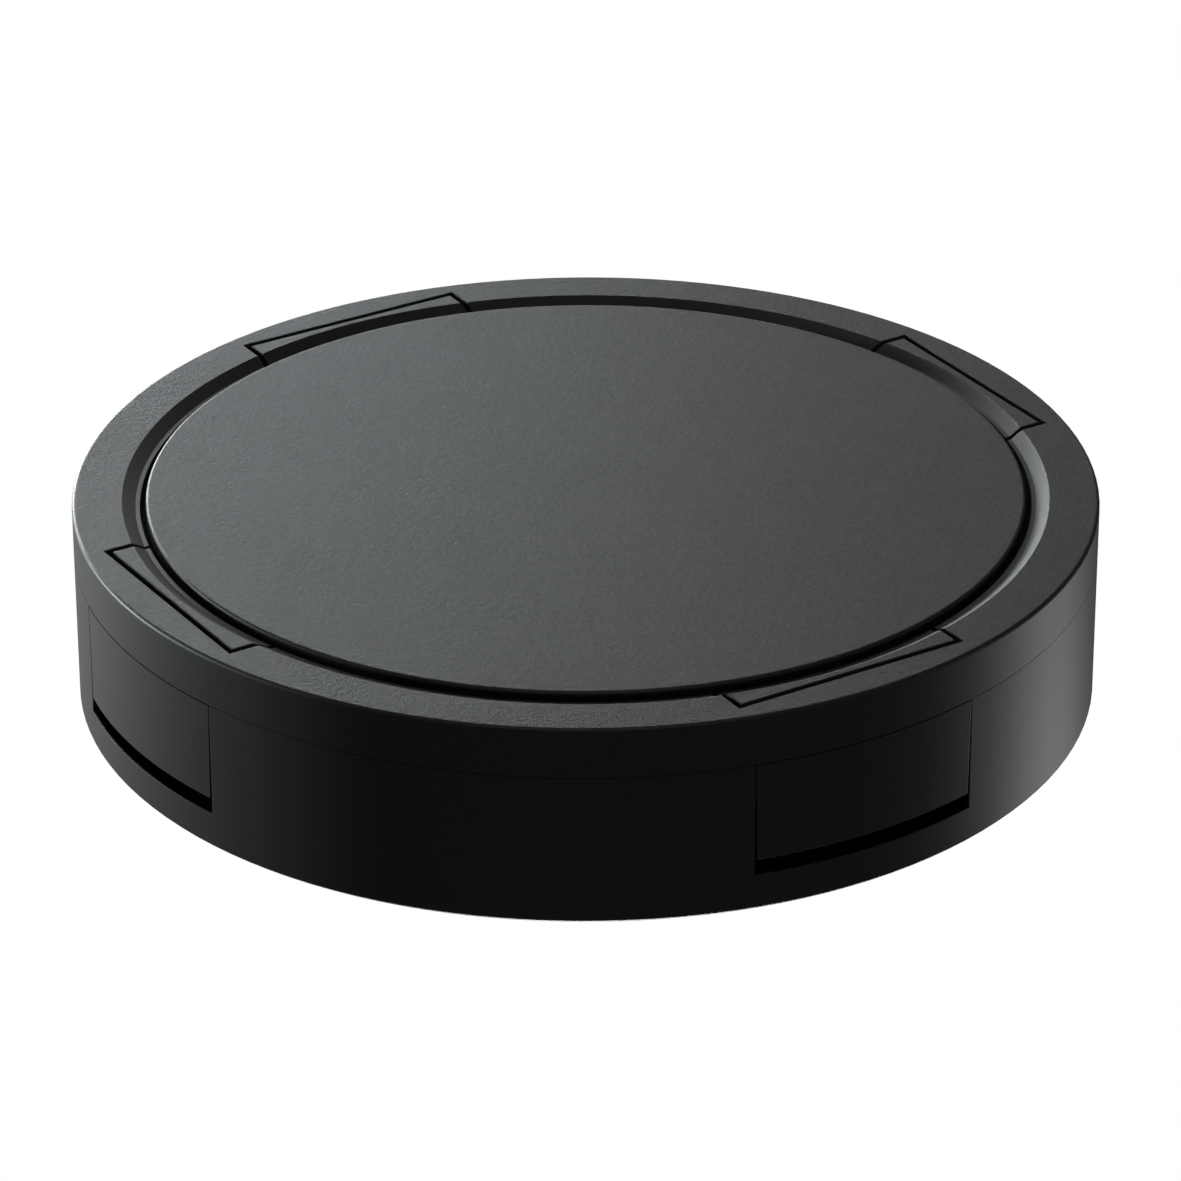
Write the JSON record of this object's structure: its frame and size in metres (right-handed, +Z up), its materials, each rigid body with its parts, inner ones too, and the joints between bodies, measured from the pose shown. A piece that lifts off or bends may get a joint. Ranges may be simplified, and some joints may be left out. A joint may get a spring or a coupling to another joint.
{
  "type": "robot vacuum",
  "caption": "Low round robot vacuum with a lift-off lid held by rocker latches, a floating shell, sprung drive wheels, a caster, brushes, a fan and a dust bin.",
  "frame": {"origin": "on the floor below the centre of the round body", "axes": "+Z up, +Y the way the robot drives, +X to its right"},
  "size_m": [0.35, 0.35, 0.08],
  "materials": {
    "shell": "fine moulded grain, near black",
    "lid": "fine moulded grain, near black",
    "chassis": "moulded, fine grain",
    "inner_grey": "moulded, satin",
    "dark_clear": "smoked, gloss",
    "steel": "zinc plated",
    "copper_alloy": "gold flashed",
    "rubber": "moulded",
    "tyre": "moulded tread",
    "bristle": "nylon filament",
    "vane": "moulded blade",
    "board": "solder mask",
    "chip": "moulded package",
    "cell": "shrink sleeve",
    "filter": "pleated",
    "magnet": "nickel plated"
  },
  "bodies": {
    "chassis": {"chassis_pan": "chassis", "top_deck": "chassis", "brush_housing": "chassis", "brush_guard": "inner_grey", "brush_motor": "steel", "side_brush_motor": "inner_grey", "battery_pack": "cell", "battery_cover": "chassis", "main_board": "board", "board_parts": "chip", "fan_housing": "inner_grey", "fan_duct": "inner_grey", "fan_motor": "steel", "inlet_seal": "rubber", "float_rings": "rubber", "bump_sensors": "chip", "cliff_sensors": "dark_clear", "charge_contacts": "copper_alloy", "arm_pins": "steel", "arm_spring_left": "steel", "arm_spring_right": "steel", "base_screws": "steel"},
    "shell": {"side_wall": "shell", "rim_ring": "shell", "shell_screws": "steel", "float_screws": "steel", "latch_pins": "steel", "latch_springs": "steel"},
    "lid": {"lid": "lid", "lid_strikers": "steel"},
    "dust_bin": {"dust_bin": "dark_clear", "bin_cover": "chassis", "bin_filter": "filter"},
    "bin_handle": {"bin_handle": "inner_grey"},
    "arm_left": {"wheel_arm_left": "inner_grey"},
    "arm_right": {"wheel_arm_right": "inner_grey"},
    "wheel_left": {"wheel_hub_left": "inner_grey", "tyre_left": "tyre", "axle_left": "steel"},
    "wheel_right": {"wheel_hub_right": "inner_grey", "tyre_right": "tyre", "axle_right": "steel"},
    "caster": {"caster_fork": "inner_grey", "caster_pin": "steel"},
    "caster_wheel": {"caster_wheel": "tyre"},
    "main_brush": {"brush_core": "inner_grey", "brush_vanes": "vane", "brush_tufts": "bristle"},
    "side_brush": {"side_brush_hub": "inner_grey", "side_brush_bristles": "bristle"},
    "impeller": {"fan_impeller": "inner_grey"},
    "power_key": {"power_key": "inner_grey"},
    "latch_right": {"latch_right": "shell", "magnet_right": "magnet"},
    "latch_front": {"latch_front": "shell", "magnet_front": "magnet"},
    "latch_left": {"latch_left": "shell", "magnet_left": "magnet"},
    "latch_back": {"latch_back": "shell", "magnet_back": "magnet"}
  },
  "joints": [
    {"name": "shell_bump", "type": "slide", "parent": "chassis", "child": "shell", "axis": [0, -1, 0], "range_m": [0, 0.003], "stiffness_N_per_m": 600, "deforming": ["float_rings"]},
    {"name": "lid_lift", "type": "slide", "parent": "shell", "child": "lid", "axis": [0, 0, 1], "range_m": [0, 0.12]},
    {"name": "bin_lift", "type": "slide", "parent": "chassis", "child": "dust_bin", "axis": [0, 0, 1], "range_m": [0, 0.072]},
    {"name": "bin_handle_swing", "type": "hinge", "parent": "dust_bin", "child": "bin_handle", "pos_m": [-0.025, -0.08, 0.0707], "axis": [-1, 0, 0], "range_deg": [0, 70]},
    {"name": "latch_right_press", "type": "hinge", "parent": "shell", "child": "latch_right", "pos_m": [0.16, 0, 0.0595], "axis": [0, 1, 0], "range_deg": [0, 3.2], "stiffness_Nm_per_rad": 0.35, "springref_deg": -14.32},
    {"name": "latch_front_press", "type": "hinge", "parent": "shell", "child": "latch_front", "pos_m": [0, 0.16, 0.0595], "axis": [-1, 0, 0], "range_deg": [0, 3.2], "stiffness_Nm_per_rad": 0.35, "springref_deg": -14.32},
    {"name": "latch_left_press", "type": "hinge", "parent": "shell", "child": "latch_left", "pos_m": [-0.16, 0, 0.0595], "axis": [0, -1, 0], "range_deg": [0, 3.2], "stiffness_Nm_per_rad": 0.35, "springref_deg": -14.32},
    {"name": "latch_back_press", "type": "hinge", "parent": "shell", "child": "latch_back", "pos_m": [0, -0.16, 0.0595], "axis": [1, 0, 0], "range_deg": [0, 3.2], "stiffness_Nm_per_rad": 0.35, "springref_deg": -14.32},
    {"name": "arm_left_swing", "type": "hinge", "parent": "chassis", "child": "arm_left", "pos_m": [-0.09625, 0.044, 0.04], "axis": [1, 0, 0], "range_deg": [0, 16], "stiffness_Nm_per_rad": 0.4, "springref_deg": 40.11, "deforming": ["arm_spring_left"]},
    {"name": "wheel_left_spin", "type": "hinge", "parent": "arm_left", "child": "wheel_left", "pos_m": [-0.115, 0, 0.031], "axis": [1, 0, 0], "continuous": true},
    {"name": "arm_right_swing", "type": "hinge", "parent": "chassis", "child": "arm_right", "pos_m": [0.09625, 0.044, 0.04], "axis": [1, 0, 0], "range_deg": [0, 16], "stiffness_Nm_per_rad": 0.4, "springref_deg": 40.11, "deforming": ["arm_spring_right"]},
    {"name": "wheel_right_spin", "type": "hinge", "parent": "arm_right", "child": "wheel_right", "pos_m": [0.115, 0, 0.031], "axis": [1, 0, 0], "continuous": true},
    {"name": "caster_swivel", "type": "hinge", "parent": "chassis", "child": "caster", "pos_m": [0, 0.116, 0.014], "axis": [0, 0, 1], "continuous": true},
    {"name": "caster_spin", "type": "hinge", "parent": "caster", "child": "caster_wheel", "pos_m": [0, 0.109, 0.014], "axis": [1, 0, 0], "continuous": true},
    {"name": "main_brush_spin", "type": "hinge", "parent": "chassis", "child": "main_brush", "pos_m": [0, -0.038, 0.02], "axis": [1, 0, 0], "continuous": true},
    {"name": "side_brush_spin", "type": "hinge", "parent": "chassis", "child": "side_brush", "pos_m": [0.0898, 0.0898, 0.008], "axis": [0, 0, 1], "continuous": true},
    {"name": "impeller_spin", "type": "hinge", "parent": "chassis", "child": "impeller", "pos_m": [0.075, -0.086, 0.035], "axis": [0, 0, 1], "continuous": true},
    {"name": "power_key_press", "type": "slide", "parent": "chassis", "child": "power_key", "axis": [0, 0, -1], "range_m": [0, 0.0012], "stiffness_N_per_m": 800, "springref_m": -0.001}
  ],
  "couplings": [
    {"joint": "bin_lift", "follows": "lid_lift", "ratio": 0.6},
    {"joint": "bin_handle_swing", "follows": "lid_lift", "rad_per_m": 10.181}
  ]
}
